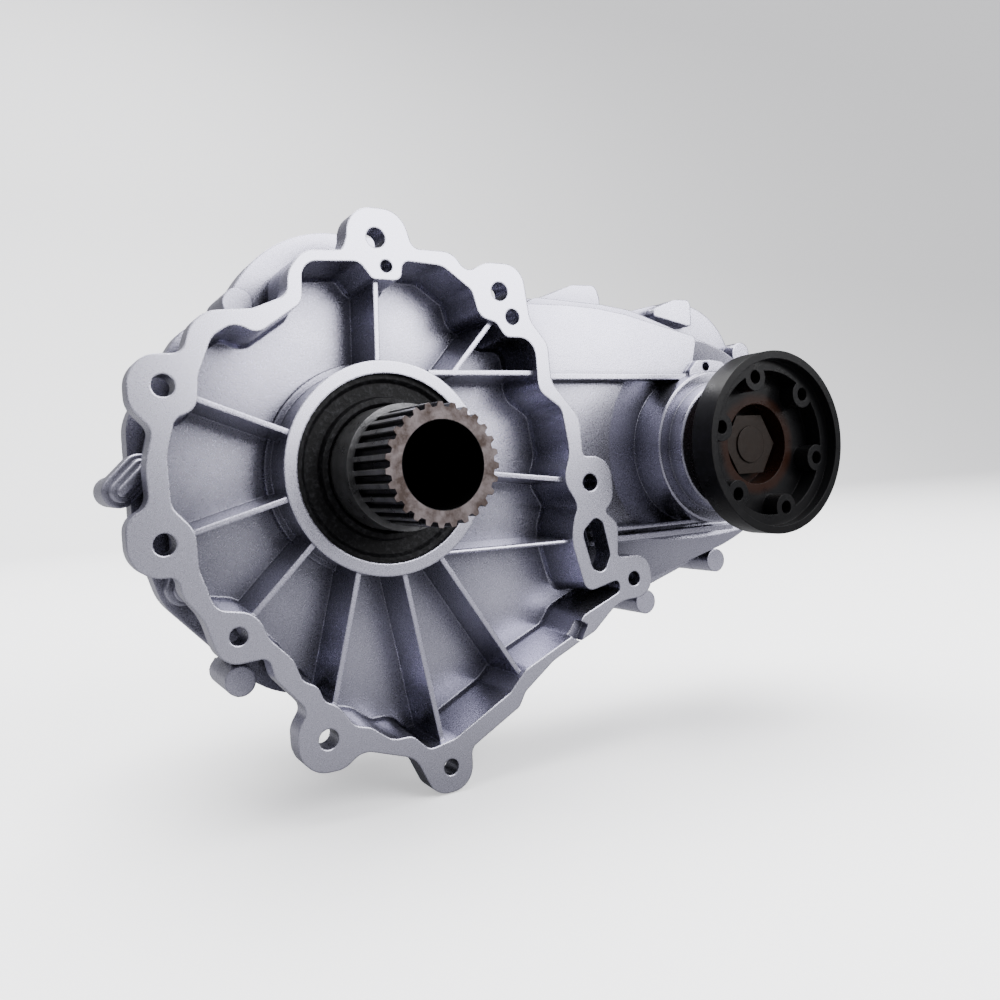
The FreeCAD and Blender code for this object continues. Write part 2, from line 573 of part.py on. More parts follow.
# Recess in front, with drafted walls and the collar left standing in it
draft = size("recess_draft")
recess_sketch = new_sketch(front_case, "recess_outline", "XZ_Plane")
add_outline(recess_sketch, RECESS_OUTLINE)
add_circle(recess_sketch, 0, 0, "collar_r")
tapered(pocket(front_case, recess_sketch, "bell_floor - floor_round", "recess"), -draft)
floor_sketch = new_sketch(front_case, "recess_floor_outline", "XZ_Plane",
                          "bell_floor - floor_round")
drawn_in = (size("bell_floor") - size("floor_round")) * math.tan(math.radians(draft))
add_outline(floor_sketch, grown(RECESS_OUTLINE, -drawn_in))
add_circle(floor_sketch, 0, 0, f"collar_r + {drawn_in:.4f}")
tapered(pocket(front_case, floor_sketch, "floor_round", "recess_floor"),
        -size("floor_slant"))
rib_sketch = new_sketch(front_case, "bell_rib_lines", "XZ_Plane", "collar_front + 1")
for start, end in BELL_RIBS:
    add_strip(rib_sketch, start, end, size("rib_thick"))
tapered(pad(front_case, rib_sketch, "bell_floor - collar_front", "bell_ribs"),
        size("rib_draft"))
way_sketch = new_sketch(front_case, "input_way_profile", "XY_Plane")
add_profile(way_sketch, [
    ("0", "-1"), ("collar_r + 2", "-1"), ("collar_r + 2", "collar_front"),
    ("seal_pocket_r", "collar_front"), ("seal_pocket_r", "seal_pocket_end"),
    ("input_bearing_out_r", "seal_pocket_end"),
    ("input_bearing_out_r", "input_bearing_y + input_bearing_wide"),
    ("input_bearing_out_r - 6", "input_bearing_y + input_bearing_wide"),
    ("input_bearing_out_r - 6", "joint_y + 1"), ("0", "joint_y + 1"),
])
spun(front_case, "Groove", way_sketch, "input_way", "V_Axis")

# Coplanar faces are joined once per group of features
MERGING = ("lugs", "output_cavity", "input_way")
for feature in front_case.Group:
    if feature.isDerivedFrom("PartDesign::Feature"):
        feature.Refine = feature.Name in MERGING


# Rear case half: the other shell of the chain case, the round housing of the differential, and
# the tail that carries the rear output's bearing and seal
rear_case = new_body("rear_case")
rear_lip_sketch = new_sketch(rear_case, "rear_lip_outline", "XZ_Plane", "joint_y")
add_outline(rear_lip_sketch, CASE_OUTLINE)
pad(rear_case, rear_lip_sketch, "lip_thick", "rear_lip")
rear_body_sketch = new_sketch(rear_case, "rear_body_outline", "XZ_Plane", "joint_y")
add_outline(rear_body_sketch, grown(CAVITY_OUTLINE, size("wall")))
pad(rear_case, rear_body_sketch, "rear_wall_y + wall - joint_y", "rear_body")
rear_lug_sketch = new_sketch(rear_case, "rear_lug_circles", "XZ_Plane", "joint_y")
for x, z in LUGS:
    add_circle(rear_lug_sketch, x, z, "lug_r")
pad(rear_case, rear_lug_sketch, "lug_long", "rear_lugs")
housing_sketch = new_sketch(rear_case, "housing_profile", "XY_Plane")
add_profile(housing_sketch, [
    ("0", "rear_wall_y"), ("housing_r + wall", "rear_wall_y"),
    ("housing_r + wall", "housing_end - 10"), ("housing_r - 8", "housing_end + wall"),
    ("tail_r + 6", "housing_end + 14"), ("tail_r", "housing_end + 20"), ("tail_r", "tail_end"),
    ("0", "tail_end"),
])
spun(rear_case, "Revolution", housing_sketch, "housing", "V_Axis")
gusset_sketch = new_sketch(rear_case, "gusset_profile", "XY_Plane")
add_profile(gusset_sketch, [
    ("tail_r - 1", "housing_end + wall"), ("housing_r - 12", "housing_end + wall"),
    ("tail_r + 1", "tail_end - 14"), ("tail_r - 1", "tail_end - 14"),
])
gusset = rear_case.newObject("PartDesign::Pad", "gusset")
gusset.Profile = gusset_sketch
gusset.setExpression("Length", "Sizes.wall - 1.5")
gusset.Midplane = True
gussets = rear_case.newObject("PartDesign::PolarPattern", "gussets")
gussets.Originals = [gusset]
gussets.Axis = (gusset_sketch, ["V_Axis"])
gussets.Angle = 360
gussets.Occurrences = 8
rear_case.Tip = gussets
rear_rib_sketch = new_sketch(rear_case, "rear_rib_lines", "XZ_Plane", "rear_wall_y")
for start, end in REAR_RIBS:
    add_strip(rear_rib_sketch, start, end, size("rear_rib_thick"))
pad(rear_case, rear_rib_sketch, "wall + rear_rib_high", "rear_ribs")
rear_cavity_sketch = new_sketch(rear_case, "rear_cavity_outline", "XZ_Plane", "joint_y")
add_outline(rear_cavity_sketch, CAVITY_OUTLINE)
pocket(rear_case, rear_cavity_sketch, "rear_wall_y - joint_y", "rear_cavity")
bore_sketch = new_sketch(rear_case, "housing_bore_profile", "XY_Plane")
add_profile(bore_sketch, [
    ("0", "rear_wall_y - 1"), ("housing_r", "rear_wall_y - 1"), ("housing_r", "housing_end - 14"),
    ("housing_r - 6", "housing_end"), ("rear_bearing_out_r", "housing_end"),
    ("rear_bearing_out_r", "rear_bearing_y + rear_bearing_wide"),
    ("rear_seal_r - 2", "rear_bearing_y + rear_bearing_wide"),
    ("rear_seal_r - 2", "rear_bearing_y + rear_bearing_wide + 4"),
    ("rear_seal_r", "rear_bearing_y + rear_bearing_wide + 4"), ("rear_seal_r", "tail_end + 1"),
    ("0", "tail_end + 1"),
])
spun(rear_case, "Groove", bore_sketch, "housing_bore", "V_Axis")
output_pad(rear_case, "back_bearing_boss", "back_bearing_out_r + wall", "back_bearing_y - 2",
           "back_bearing_wide + wall + 4")
output_bore(rear_case, "back_bearing_bore", "back_bearing_out_r", "back_bearing_y - 3",
            "back_bearing_wide + 3")
bores(rear_case, "rear_bolt_holes", LUGS, "case_bolt_hole_r", "joint_y", "lug_long")
bores(rear_case, "rear_dowel_holes", DOWELS, "dowel_r", "joint_y", "dowel_long / 2")
bores(rear_case, "plug_holes", PLUGS, "plug_r", "rear_wall_y - 1", "wall + 2")
bores(rear_case, "vent_hole", [VENT], "vent_r", "rear_wall_y - 1", "wall + 2")


# Bolts and dowels that hold the two halves together
def hexagon(sketch, x, z, corner_r):
    spots = [
        Vector(x + corner_r * math.cos(math.pi * i / 3), z + corner_r * math.sin(math.pi * i / 3), 0)
        for i in range(7)
    ]
    for one, other in zip(spots, spots[1:]):
        sketch.addGeometry(Part.LineSegment(one, other), False)


case_bolts = new_body("case_bolts")
shank_sketch = new_sketch(case_bolts, "shank_circles", "XZ_Plane", "joint_y - bolt_thread_long")
for x, z in LUGS:
    add_circle(shank_sketch, x, z, "case_bolt_r")
pad(case_bolts, shank_sketch, "bolt_thread_long + lug_long", "shanks")
head_sketch = new_sketch(case_bolts, "head_hexagons", "XZ_Plane", "joint_y + lug_long")
for x, z in LUGS:
    hexagon(head_sketch, x, z, size("case_bolt_head_r"))
pad(case_bolts, head_sketch, "case_bolt_head_long", "heads")

case_dowels = new_body("case_dowels")
dowel_sketch = new_sketch(case_dowels, "dowel_circles", "XZ_Plane", "joint_y - dowel_long / 2")
for x, z in DOWELS:
    add_circle(dowel_sketch, x, z, "dowel_r")
pad(case_dowels, dowel_sketch, "dowel_long", "dowels")


# Drain plug, fill plug and vent, screwed into the rear wall
def plug(label, spot, radius, head_r, head_long):
    body = new_body(label)
    shank = new_sketch(body, label + "_shank_circle", "XZ_Plane", "rear_wall_y")
    add_circle(shank, *spot, radius)
    pad(body, shank, "wall", label + "_shank")
    head = new_sketch(body, label + "_head_outline", "XZ_Plane", "rear_wall_y + wall")
    hexagon(head, *spot, size(head_r))
    pad(body, head, head_long, label + "_head")
    return body


plug("drain_plug", PLUGS[0], "plug_r", "plug_r + 4", "plug_head_long")
plug("fill_plug", PLUGS[1], "plug_r", "plug_r + 4", "plug_head_long")
plug("vent", VENT, "vent_r", "vent_r + 3", "vent_long")


# Input side: hollow input shaft with its outside spline, its bearing, circlip and seal
def add_teeth(sketch, count, root_r, tip_r, root_half, tip_half, phase):
    """Toothed outline; half widths are in millimetres, phase is the first tooth's angle."""
    step = 2 * math.pi / count
    start = math.radians(phase)
    spots = []
    for i in range(count):
        middle = start + i * step
        for radius, half in ((root_r, -root_half), (tip_r, -tip_half), (tip_r, tip_half),
                             (root_r, root_half)):
            angle = middle + half / radius
            spots.append(Vector(radius * math.cos(angle), radius * math.sin(angle), 0))
    spots.append(spots[0])
    for one, other in zip(spots, spots[1:]):
        sketch.addGeometry(Part.LineSegment(one, other), False)


input_shaft = turned("input_shaft", [
    ("0", "shaft_bore_long - shaft_tip_y"), ("shaft_bore_r", "shaft_bore_long - shaft_tip_y"),
    ("shaft_bore_r", "spline_long - shaft_tip_y - 1"),
    ("spline_root_r", "spline_long - shaft_tip_y - 1"),
    ("spline_root_r", "spline_long - shaft_tip_y"),
    ("shaft_shoulder_r", "spline_long - shaft_tip_y"), ("shaft_shoulder_r", "input_bearing_y"),
    ("input_bearing_in_r", "input_bearing_y"),
    ("input_bearing_in_r", "input_bearing_y + input_bearing_wide"),
    ("shaft_core_r + 8", "input_bearing_y + input_bearing_wide"),
    ("shaft_core_r + 8", "washer_y"), ("shaft_core_r", "washer_y"),
    ("shaft_core_r", "carrier_back"), ("shaft_nose_r", "carrier_back"),
    ("shaft_nose_r", "carrier_back + 16"), ("0", "carrier_back + 16"),
])
SPLINE_TEETH = 27
spline_sketch = new_sketch(input_shaft, "spline_outline", "XZ_Plane", "-shaft_tip_y")
add_teeth(spline_sketch, SPLINE_TEETH, size("spline_root_r"), size("spline_tip_r"),
          size("spline_root_half"), size("spline_tip_half"), 90)
add_circle(spline_sketch, 0, 0, "shaft_bore_r")
pad(input_shaft, spline_sketch, "spline_long", "spline")

ring("input_bearing_outer", "input_bearing_out_r - 5.5", "input_bearing_out_r",
     "input_bearing_y", "input_bearing_y + input_bearing_wide")
ring("input_bearing_inner", "input_bearing_in_r", "input_bearing_in_r + 5.5",
     "input_bearing_y", "input_bearing_y + input_bearing_wide")
turned("input_seal", [
    ("seal_pocket_r", "collar_front + 2.5"), ("seal_pocket_r - 3", "collar_front + 2.5"),
    ("seal_pocket_r - 5", "collar_front + 5"), ("shaft_shoulder_r + 6", "collar_front + 5"),
    ("shaft_shoulder_r + 5", "collar_front"), ("shaft_shoulder_r + 2", "collar_front"),
    ("shaft_shoulder_r + running_gap", "collar_front + 3.5"),
    ("shaft_shoulder_r + running_gap", "seal_pocket_end - circlip_thick - free_gap"),
    ("seal_pocket_r", "seal_pocket_end - circlip_thick - free_gap"),
])
input_circlip = ring("input_circlip", "input_bearing_out_r - 4", "seal_pocket_r",
                     "seal_pocket_end - circlip_thick", "seal_pocket_end")
slit_sketch = new_sketch(input_circlip, "circlip_gap", "XZ_Plane", "0")
add_strip(slit_sketch, (0, -size("input_bearing_out_r") - 10), (0, 0), 12)
pocket(input_circlip, slit_sketch, "seal_pocket_end", "circlip_slit")

# Centre differential: sun gear on the sleeve of the drive sprocket, three planets on the carrier
# that the input shaft turns, and the ring gear that drives the rear output
MODULE = size("gear_module")
SUN_TEETH = 24
PLANET_TEETH = 18
RING_TEETH = 2 * PLANET_TEETH + SUN_TEETH
PLANET_ANGLES = (90, 210, 330)


TOOTH_OUT = 0.88 * MODULE
TOOTH_IN = 1.2 * MODULE
TOOTH_HALVES = (1.0 * MODULE, 0.35 * MODULE)


def gear_sizes(count):
    """Root radius, tip radius, and half widths of a tooth there."""
    pitch_r = MODULE * count / 2
    return pitch_r - TOOTH_IN, pitch_r + TOOTH_OUT, *TOOTH_HALVES


sun_gear = ring("sun_gear", "shaft_core_r + needle_thick", "drive_hub_r",
                "washer_y + washer_thick", "gear_front")
sun_sketch = new_sketch(sun_gear, "sun_teeth", "XZ_Plane", "gear_front")
add_teeth(sun_sketch, SUN_TEETH, *gear_sizes(SUN_TEETH), 90)
add_circle(sun_sketch, 0, 0, "shaft_core_r + needle_thick")
pad(sun_gear, sun_sketch, "gear_wide", "sun_toothing")
ring("needle_bearing", "shaft_core_r + running_gap", "shaft_core_r + needle_thick",
     "washer_y + washer_thick + 2", "gear_front")
ring("sun_washer", "shaft_core_r", "drive_hub_r - 1", "washer_y",
     "washer_y + washer_thick - free_gap")

planet_r = MODULE * (SUN_TEETH + PLANET_TEETH) / 2
PLANET_SPOTS = [
    (planet_r * math.cos(math.radians(a)), planet_r * math.sin(math.radians(a)))
    for a in PLANET_ANGLES
]
for number, (x, z) in enumerate(PLANET_SPOTS, start=1):
    planet = new_body(f"planet_gear_{number}")
    planet.Placement = Placement(Vector(x, 0, z), Rotation())
    planet_sketch = new_sketch(planet, f"planet_teeth_{number}", "XZ_Plane", "gear_front")
    add_teeth(planet_sketch, PLANET_TEETH, *gear_sizes(PLANET_TEETH), 90 + 180 / PLANET_TEETH)
    add_circle(planet_sketch, 0, 0, "planet_pin_r + running_gap")
    pad(planet, planet_sketch, "gear_wide", f"planet_toothing_{number}")

planet_carrier = ring("planet_carrier", "drive_hub_r + 3", "carrier_r",
                      "gear_front - free_gap - carrier_plate", "gear_front - free_gap")
back_plate_sketch = new_sketch(planet_carrier, "back_plate_circles", "XZ_Plane",
                               "gear_front + gear_wide + free_gap")
add_circle(back_plate_sketch, 0, 0, "carrier_r")
add_circle(back_plate_sketch, 0, 0, "shaft_core_r")
pad(planet_carrier, back_plate_sketch, "carrier_plate", "back_plate")
post_sketch = new_sketch(planet_carrier, "carrier_posts_lines", "XZ_Plane",
                         "gear_front - free_gap - 1")
for angle in PLANET_ANGLES:
    turn = math.radians(angle + 60)
    inner = (42 * math.cos(turn), 42 * math.sin(turn))
    outer = (64 * math.cos(turn), 64 * math.sin(turn))
    add_strip(post_sketch, inner, outer, 24)
pad(planet_carrier, post_sketch, "gear_wide + 2 * free_gap + 2", "carrier_posts")
bores(planet_carrier, "pin_bores", PLANET_SPOTS, "planet_pin_r", "0", "drum_web_y")
planet_pins = new_body("planet_pins")
planet_pin_sketch = new_sketch(planet_pins, "planet_pin_circles", "XZ_Plane",
                               "gear_front - free_gap - carrier_plate")
for x, z in PLANET_SPOTS:
    add_circle(planet_pin_sketch, x, z, "planet_pin_r")
pad(planet_pins, planet_pin_sketch, "gear_wide + 2 * free_gap + 2 * carrier_plate", "planet_pin_rods")

ring_gear = new_body("ring_gear")
ring_sketch = new_sketch(ring_gear, "ring_teeth", "XZ_Plane", "gear_front - 2")
ring_pitch_r = MODULE * RING_TEETH / 2
add_teeth(ring_sketch, RING_TEETH, ring_pitch_r + TOOTH_IN, ring_pitch_r - TOOTH_OUT,
          *TOOTH_HALVES, 90)
add_circle(ring_sketch, 0, 0, "drum_r")
pad(ring_gear, ring_sketch, "gear_wide + 4", "ring_toothing")

# Rear output: drum and shaft in one forging, bearing, seal, flange and nut
turned("rear_output_shaft", [
    ("pilot_r", "drum_web_y"), ("drum_r - drum_wall", "drum_web_y"),
    ("drum_r - drum_wall", "gear_front + gear_wide + 2"), ("drum_r", "gear_front + gear_wide + 2"),
    ("drum_r", "drum_web_y + wall"), ("rear_bearing_in_r + 6", "drum_web_y + wall"),
    ("rear_bearing_in_r + 6", "rear_bearing_y"), ("rear_bearing_in_r", "rear_bearing_y"),
    ("rear_bearing_in_r", "rear_bearing_y + rear_bearing_wide"),
    ("rear_spline_r", "rear_bearing_y + rear_bearing_wide"), ("rear_spline_r", "nut_y"),
    ("thread_r", "nut_y"), ("thread_r", "rear_flange_y - 1"), ("0", "rear_flange_y - 1"),
    ("0", "carrier_back + 18"), ("pilot_r", "carrier_back + 18"),
])
ring("pilot_bush", "shaft_nose_r + running_gap", "pilot_r", "drum_web_y", "carrier_back + 16")
ring("rear_bearing_outer", "rear_bearing_out_r - 5.5", "rear_bearing_out_r", "rear_bearing_y",
     "rear_bearing_y + rear_bearing_wide")
ring("rear_bearing_inner", "rear_bearing_in_r", "rear_bearing_in_r + 5.5", "rear_bearing_y",
     "rear_bearing_y + rear_bearing_wide")
rear_flange = turned("rear_flange", [
    ("rear_spline_r", "rear_bearing_y + rear_bearing_wide"),
    ("rear_hub_r", "rear_bearing_y + rear_bearing_wide"), ("rear_hub_r", "rear_flange_y - 15"),
    ("rear_flange_r", "rear_flange_y - 10"), ("rear_flange_r", "rear_flange_y"),
    ("rear_hub_r - 4", "rear_flange_y"), ("rear_hub_r - 4", "nut_y"), ("rear_spline_r", "nut_y"),
])
FLANGE_SPOTS = [
    (size("rear_bolt_circle_r") * math.cos(math.radians(a)),
     size("rear_bolt_circle_r") * math.sin(math.radians(a)))
    for a in (45, 135, 225, 315)
]
bores(rear_flange, "flange_bolt_holes", FLANGE_SPOTS, "rear_bolt_hole_r", "tail_end", "30")
ring("rear_seal", "rear_hub_r + running_gap", "rear_seal_r", "tail_end - 12", "tail_end - 2")


def nut(label, radius, corner_r, front, length, on_output_axis=False):
    """Hexagon nut on a shaft axis."""
    body = new_body(label, on_output_axis)
    outline = new_sketch(body, label + "_outline", "XZ_Plane", front)
    hexagon(outline, 0, 0, size(corner_r))
    add_circle(outline, 0, 0, radius)
    pad(body, outline, length, label + "_body")
    return body


nut("rear_flange_nut", "thread_r", "thread_r + 8", "nut_y", "8")

# Front output: shaft, driven sprocket, two bearings, seal, and the cup-shaped flange with its
# six lobes round the threaded holes
turned("front_output_shaft", [
    ("0", "-cup_nut_y - 11"), ("cup_thread_r", "-cup_nut_y - 11"), ("cup_thread_r", "-cup_nut_y"),
    ("front_bearing_in_r - 1.5", "-cup_nut_y"), ("front_bearing_in_r - 1.5", "front_bearing_y"),
    ("front_bearing_in_r", "front_bearing_y"),
    ("front_bearing_in_r", "front_bearing_y + front_bearing_wide"),
    ("driven_bore_r + 3", "front_bearing_y + front_bearing_wide"),
    ("driven_bore_r + 3", "chain_mid_y - hub_long / 2"), ("driven_bore_r", "chain_mid_y - hub_long / 2"),
    ("driven_bore_r", "back_bearing_y"), ("back_bearing_in_r", "back_bearing_y"),
    ("back_bearing_in_r", "back_bearing_y + back_bearing_wide"),
    ("0", "back_bearing_y + back_bearing_wide"),
], on_output_axis=True)
ring("front_bearing_outer", "front_bearing_out_r - 5", "front_bearing_out_r", "front_bearing_y",
     "front_bearing_y + front_bearing_wide", on_output_axis=True)
ring("front_bearing_inner", "front_bearing_in_r", "front_bearing_in_r + 5", "front_bearing_y",
     "front_bearing_y + front_bearing_wide", on_output_axis=True)
ring("back_bearing_outer", "back_bearing_out_r - 5", "back_bearing_out_r", "back_bearing_y",
     "back_bearing_y + back_bearing_wide", on_output_axis=True)
ring("back_bearing_inner", "back_bearing_in_r", "back_bearing_in_r + 5", "back_bearing_y",
     "back_bearing_y + back_bearing_wide", on_output_axis=True)
ring("front_output_seal", "cup_hub_r + running_gap", "seal_out_r", "-boss_high_y + 1",
     "-boss_high_y + output_seal_deep - 1", on_output_axis=True)
front_flange = turned("front_flange", [
    ("front_bearing_in_r - 1.5", "front_bearing_y"), ("front_bearing_in_r - 1.5", "-cup_nut_y"),
    ("cup_well_r", "-cup_nut_y"), ("cup_well_r", "-cup_floor"), ("cup_lip_r", "-cup_floor"),
    ("cup_lip_r", "-cup_front"), ("cup_r", "-cup_front"), ("cup_r", "cup_band - cup_front"),
    ("cup_r - 6", "cup_band - cup_front + 6"), ("cup_well_r + 5", "cup_band - cup_front + 7"),
    ("cup_well_r + 5", "-boss_high_y - 3"), ("cup_hub_r", "-boss_high_y - 3"),
    ("cup_hub_r", "front_bearing_y"),
], on_output_axis=True)
CUP_SPOTS = [
    (size("cup_bolt_circle_r") * math.cos(math.radians(a)),
     size("cup_bolt_circle_r") * math.sin(math.radians(a)))
    for a in range(45, 405, 60)
]
face_sketch = new_sketch(front_flange, "cup_face_circles", "XZ_Plane", "cup_face_back - cup_front")
add_circle(face_sketch, 0, 0, "cup_lip_r + 1")
add_circle(face_sketch, 0, 0, "cup_cavity_r")
pad(front_flange, face_sketch, "cup_front - cup_face_back - cup_floor", "cup_face")
lobe_sketch = new_sketch(front_flange, "cup_lobe_circles", "XZ_Plane", "cup_face_back - cup_front")
for x, z in CUP_SPOTS:
    add_circle(lobe_sketch, x, z, "cup_hole_r + 4.5")
pad(front_flange, lobe_sketch, "cup_front - cup_face_back - cup_floor", "cup_lobes")
bores(front_flange, "cup_holes", CUP_SPOTS, "cup_hole_r", "-cup_front", "cup_band")
nut("front_flange_nut", "cup_thread_r", "cup_well_r - 4", "-cup_nut_y - 10", "10",
    on_output_axis=True)

# Drive and driven sprockets, alike but for their bores, and the toothed chain round them
SPROCKET_TEETH = 28
PITCH = size("chain_pitch")
SPROCKET_R = PITCH / (2 * math.sin(math.pi / SPROCKET_TEETH))
CHAIN_TILT = math.degrees(math.atan2(size("output_rise"), size("centre_distance")))


def sprocket(label, bore_r, on_output_axis=False):
    """Toothed wheel with its hub; a tooth stands at the middle of each pitch."""
    body = ring(label, bore_r, bore_r + " + 6", "chain_mid_y - hub_long / 2",
                "chain_mid_y + hub_long / 2", on_output_axis)
    teeth_sketch = new_sketch(body, label + "_teeth", "XZ_Plane", "chain_mid_y - chain_wide / 2")
    add_teeth(teeth_sketch, SPROCKET_TEETH, SPROCKET_R - 6.2, SPROCKET_R + 0.8, 3.4, 1.4,
              90 + CHAIN_TILT + 180 / SPROCKET_TEETH)
    add_circle(teeth_sketch, 0, 0, bore_r)
    pad(body, teeth_sketch, "chain_wide", label + "_toothing")
    return body


sprocket("drive_sprocket", "drive_hub_r")
sprocket("driven_sprocket", "driven_bore_r", on_output_axis=True)


def prism(corners, holes, front, length):
    """Plate between two places along Y; corners and holes are lists of x, z."""
    wires = []
    for outline in [corners] + holes:
        spots = [Vector(x, front, z) for x, z in outline]
        wires.append(Part.makePolygon(spots + spots[:1]))
    return Part.Face(wires, "Part::FaceMakerBullseye").extrude(Vector(0, length, 0))


def hexagon_spots(x, radius):
    return [(x + radius * math.cos(math.pi * i / 3), radius * math.sin(math.pi * i / 3))
            for i in range(6)]


# One pitch lies along X with its pins at half a pitch on either side; teeth point down
half_pitch = PITCH / 2
toothed_plate = [
    (-9.4, 4), (9.4, 4), (10.4, 1), (8.3, -5.6), (4.3, -5.6), (1.9, 2),
    (-1.9, 2), (-4.3, -5.6), (-8.3, -5.6), (-10.4, 1),
]
guide_plate = [(-7, 4), (7, 4), (10.2, 0), (7, -4), (-7, -4), (-10.2, 0)]
pin_r = size("chain_pin_r")
pin_holes = [hexagon_spots(x, pin_r * 1.2) for x in (-half_pitch, half_pitch)]
stack = size("chain_wide") / 3
side_y = size("chain_mid_y - chain_wide / 2")
plate_gap = 0.1
outer_stacks = [
    prism(toothed_plate, pin_holes, side_y + plate_gap, stack - 2 * plate_gap),
    prism(toothed_plate, pin_holes, side_y + 2 * stack + plate_gap, stack - 2 * plate_gap),
]
guide = size("guide_plate")
pins = [
    prism(hexagon_spots(x, pin_r), [], side_y - guide, 3 * stack + 2 * guide)
    for x in (-half_pitch, half_pitch)
]
guided_link = prism(guide_plate, [], side_y - guide, guide)
guided_link = guided_link.fuse([
    prism(guide_plate, [], side_y + 3 * stack, guide),
    prism(toothed_plate, [], side_y + stack + plate_gap, stack - 2 * plate_gap),
    *pins,
]).removeSplitter()

# Pitches run clockwise from the top of the drive sprocket: straight, driven wrap, straight, wrap
WRAP = SPROCKET_TEETH // 2
STRAIGHT = round(math.hypot(size("centre_distance"), size("output_rise")) / PITCH)
turns = [0] * STRAIGHT + [(i + 0.5) * 360 / SPROCKET_TEETH for i in range(WRAP)]
turns += [180] * STRAIGHT + [180 + (i + 0.5) * 360 / SPROCKET_TEETH for i in range(WRAP)]
place = Vector(0, 0, SPROCKET_R)
upright = Rotation(Vector(0, 1, 0), -CHAIN_TILT)
links = []
for number, turn in enumerate(turns):
    heading = Rotation(Vector(0, 1, 0), turn)
    step = heading.multVec(Vector(half_pitch, 0, 0))
    middle = Placement(upright.multVec(place + step), upright * heading)
    for solid in outer_stacks if number % 2 else [guided_link]:
        links.append(solid.transformed(middle.toMatrix()))
    place = place + step * 2
chain = doc.addObject("Part::Feature", "chain")
chain.Label = "chain"
chain.Shape = Part.makeCompound(links)

# Every piece is checked, then written to a file named after it
doc.recompute()
pieces = [item for item in doc.Objects if item.TypeId in ("PartDesign::Body", "Part::Feature")]
faulty = [item.Name for item in doc.Objects if {"Invalid", "Error"} & set(item.State)]
faulty += [piece.Label for piece in pieces if piece.Shape.isNull() or not piece.Shape.isValid()]
if faulty:
    raise ValueError("faulty objects: " + ", ".join(faulty))
os.makedirs("parts", exist_ok=True)
for piece in pieces:
    piece.Shape.exportStep(f"parts/{piece.Label}.step")
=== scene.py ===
import math

import bpy
import numpy as np
from mathutils import Matrix, Vector


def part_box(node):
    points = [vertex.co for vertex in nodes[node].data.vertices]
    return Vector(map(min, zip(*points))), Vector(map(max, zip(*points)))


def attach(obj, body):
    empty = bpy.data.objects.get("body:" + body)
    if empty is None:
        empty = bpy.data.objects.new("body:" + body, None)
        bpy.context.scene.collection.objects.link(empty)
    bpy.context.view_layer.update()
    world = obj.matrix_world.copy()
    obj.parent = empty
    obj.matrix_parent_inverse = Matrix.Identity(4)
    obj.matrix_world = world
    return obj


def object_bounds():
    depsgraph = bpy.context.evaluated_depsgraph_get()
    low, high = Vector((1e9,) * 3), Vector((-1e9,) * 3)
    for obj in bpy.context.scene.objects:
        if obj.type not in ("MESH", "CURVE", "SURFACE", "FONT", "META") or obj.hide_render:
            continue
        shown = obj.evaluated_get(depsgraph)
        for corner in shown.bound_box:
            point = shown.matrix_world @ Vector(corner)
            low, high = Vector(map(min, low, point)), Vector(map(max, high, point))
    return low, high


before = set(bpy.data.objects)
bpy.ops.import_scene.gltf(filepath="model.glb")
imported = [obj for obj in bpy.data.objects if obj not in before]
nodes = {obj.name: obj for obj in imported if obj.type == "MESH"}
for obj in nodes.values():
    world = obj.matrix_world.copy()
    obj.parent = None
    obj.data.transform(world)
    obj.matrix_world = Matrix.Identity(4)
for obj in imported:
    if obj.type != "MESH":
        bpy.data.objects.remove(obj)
cad_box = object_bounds()

# The camera stands low in front of the mating face, left of the input shaft, where the
# photograph was taken: a wide lens, turned 30 degrees to the right and tipped a little.
CAMERA_PLACE = Vector((-0.1915, -0.4450, -0.0027))
CAMERA_RIGHT = Vector((0.8624, -0.5028, -0.0582))
CAMERA_UP = Vector((0.0692, 0.0032, 0.9976))
SENSOR_MM = 36.0
LENS_MM = 31.53
NEAREST_SEEN = 0.01

camera_data = bpy.data.cameras.new("photo_camera")
camera_data.sensor_width = SENSOR_MM
camera_data.lens = LENS_MM
camera_data.clip_start = NEAREST_SEEN
camera = bpy.data.objects.new("photo_camera", camera_data)
right = CAMERA_RIGHT.normalized()
up = (CAMERA_UP - right * CAMERA_UP.dot(right)).normalized()
back = right.cross(up)
turned = Matrix((right, up, back)).transposed().to_4x4()
camera.matrix_world = Matrix.Translation(CAMERA_PLACE) @ turned
bpy.context.collection.objects.link(camera)
bpy.context.scene.camera = camera

# Plain pale floor that curves up into a backdrop behind the part, so that no horizon shows.
# It is a sheet of paper swept sideways, and is only the stage. It throws little light back at
# the part, so that the low side of the castings stays darker than the top.
FLOOR_DROP = 0.001
STAGE_HALF_WIDTH = 14.0
STAGE_FRONT = -14.0
STAGE_BACK = 2.5
STAGE_BEND_R = 1.5
STAGE_BEND_STEPS = 17
STAGE_HEIGHT = 7.0
PAPER_SEEN = (0.96, 0.96, 0.97, 1)
PAPER_THROWN = (0.12, 0.12, 0.125, 1)
PAPER_GLOW = 0.6
PAPER_ROUGHNESS = 0.9


